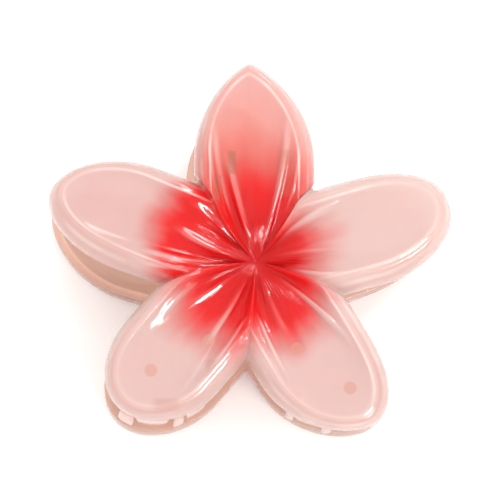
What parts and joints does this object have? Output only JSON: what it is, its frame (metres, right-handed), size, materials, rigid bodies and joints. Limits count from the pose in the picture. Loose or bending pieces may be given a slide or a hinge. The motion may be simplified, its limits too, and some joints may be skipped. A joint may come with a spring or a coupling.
{
  "type": "flower hair clip",
  "caption": "Sprung flower hair clip: two mirrored flower jaws with interleaved teeth that turn on a steel pin to grip hair.",
  "frame": {"origin": "middle of the clip's footprint, in the plane of the back jaw's petal rims, which the clip lies on", "axes": "+Z away from the surface the clip lies on, +Y along the top petals that are squeezed to open it, +X along the hinge pin towards its large head"},
  "size_m": [0.081, 0.0754, 0.0424],
  "materials": {
    "front_plastic": "glossy",
    "back_plastic": "glossy",
    "pin_steel": "satin",
    "spring_steel": "satin"
  },
  "bodies": {
    "back": {"back_jaw": "back_plastic", "hinge_pin": "pin_steel", "torsion_spring": "spring_steel"},
    "front": {"front_jaw": "front_plastic"}
  },
  "joints": [
    {"name": "jaw_hinge", "type": "hinge", "parent": "back", "child": "front", "pos_m": [0.0012, 0.01465, 0.0188], "axis": [-1, 0, 0], "range_deg": [0, 68], "stiffness_Nm_per_rad": 0.15, "springref_deg": -57.3, "deforming": ["torsion_spring"]}
  ]
}
